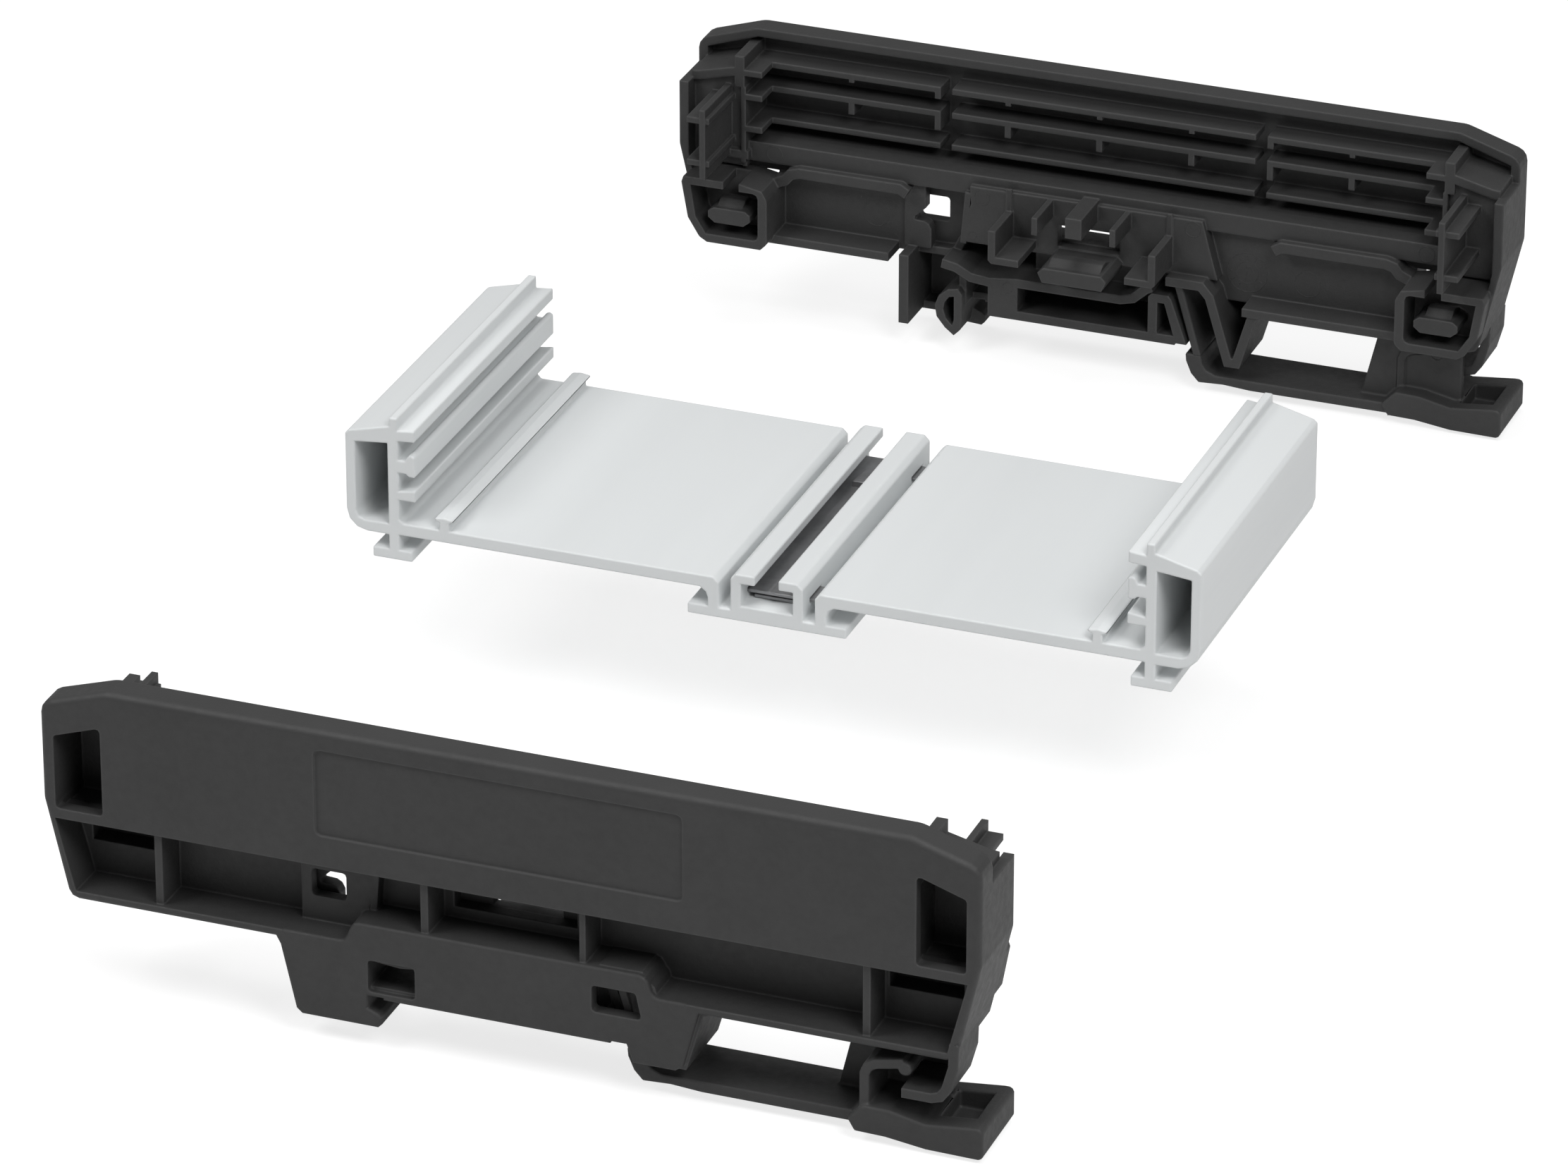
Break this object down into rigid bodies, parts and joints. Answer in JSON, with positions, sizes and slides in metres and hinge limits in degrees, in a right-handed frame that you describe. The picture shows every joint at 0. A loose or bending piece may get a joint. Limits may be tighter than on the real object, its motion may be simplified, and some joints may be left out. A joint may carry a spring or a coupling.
{
  "type": "din rail enclosure",
  "caption": "Electronics enclosure for a 35 mm top-hat rail: extruded base profile with a contact strip and side covers with sprung rail latches, covers taken off.",
  "frame": {"origin": "middle of the base profile's length and width, at the height of the rail's top face", "axes": "+X across the rail towards the latches, +Y along the rail and the extrusion, +Z away from the rail"},
  "size_m": [0.1276, 0.2348, 0.0438],
  "materials": {
    "profile_plastic": "satin",
    "contact_metal": "dull",
    "cover_plastic": "matt",
    "latch_plastic": "matt"
  },
  "bodies": {
    "profile": {"base_profile": "profile_plastic", "contact_strip": "contact_metal"},
    "cover_front": {"side_cover_front": "cover_plastic"},
    "cover_back": {"side_cover_back": "cover_plastic"},
    "latch_front": {"rail_latch_front": "latch_plastic", "latch_leaf_front": "latch_plastic"},
    "latch_back": {"rail_latch_back": "latch_plastic", "latch_leaf_back": "latch_plastic"}
  },
  "joints": [
    {"name": "cover_front_slide", "type": "slide", "parent": "profile", "child": "cover_front", "axis": [0, 1, 0], "range_m": [0, 0.082]},
    {"name": "cover_back_slide", "type": "slide", "parent": "profile", "child": "cover_back", "axis": [0, -1, 0], "range_m": [0, 0.082]},
    {"name": "latch_front_slide", "type": "slide", "parent": "cover_front", "child": "latch_front", "axis": [1, 0, 0], "range_m": [0, 0.0025], "stiffness_N_per_m": 2500},
    {"name": "latch_back_slide", "type": "slide", "parent": "cover_back", "child": "latch_back", "axis": [1, 0, 0], "range_m": [0, 0.0025], "stiffness_N_per_m": 2500}
  ]
}
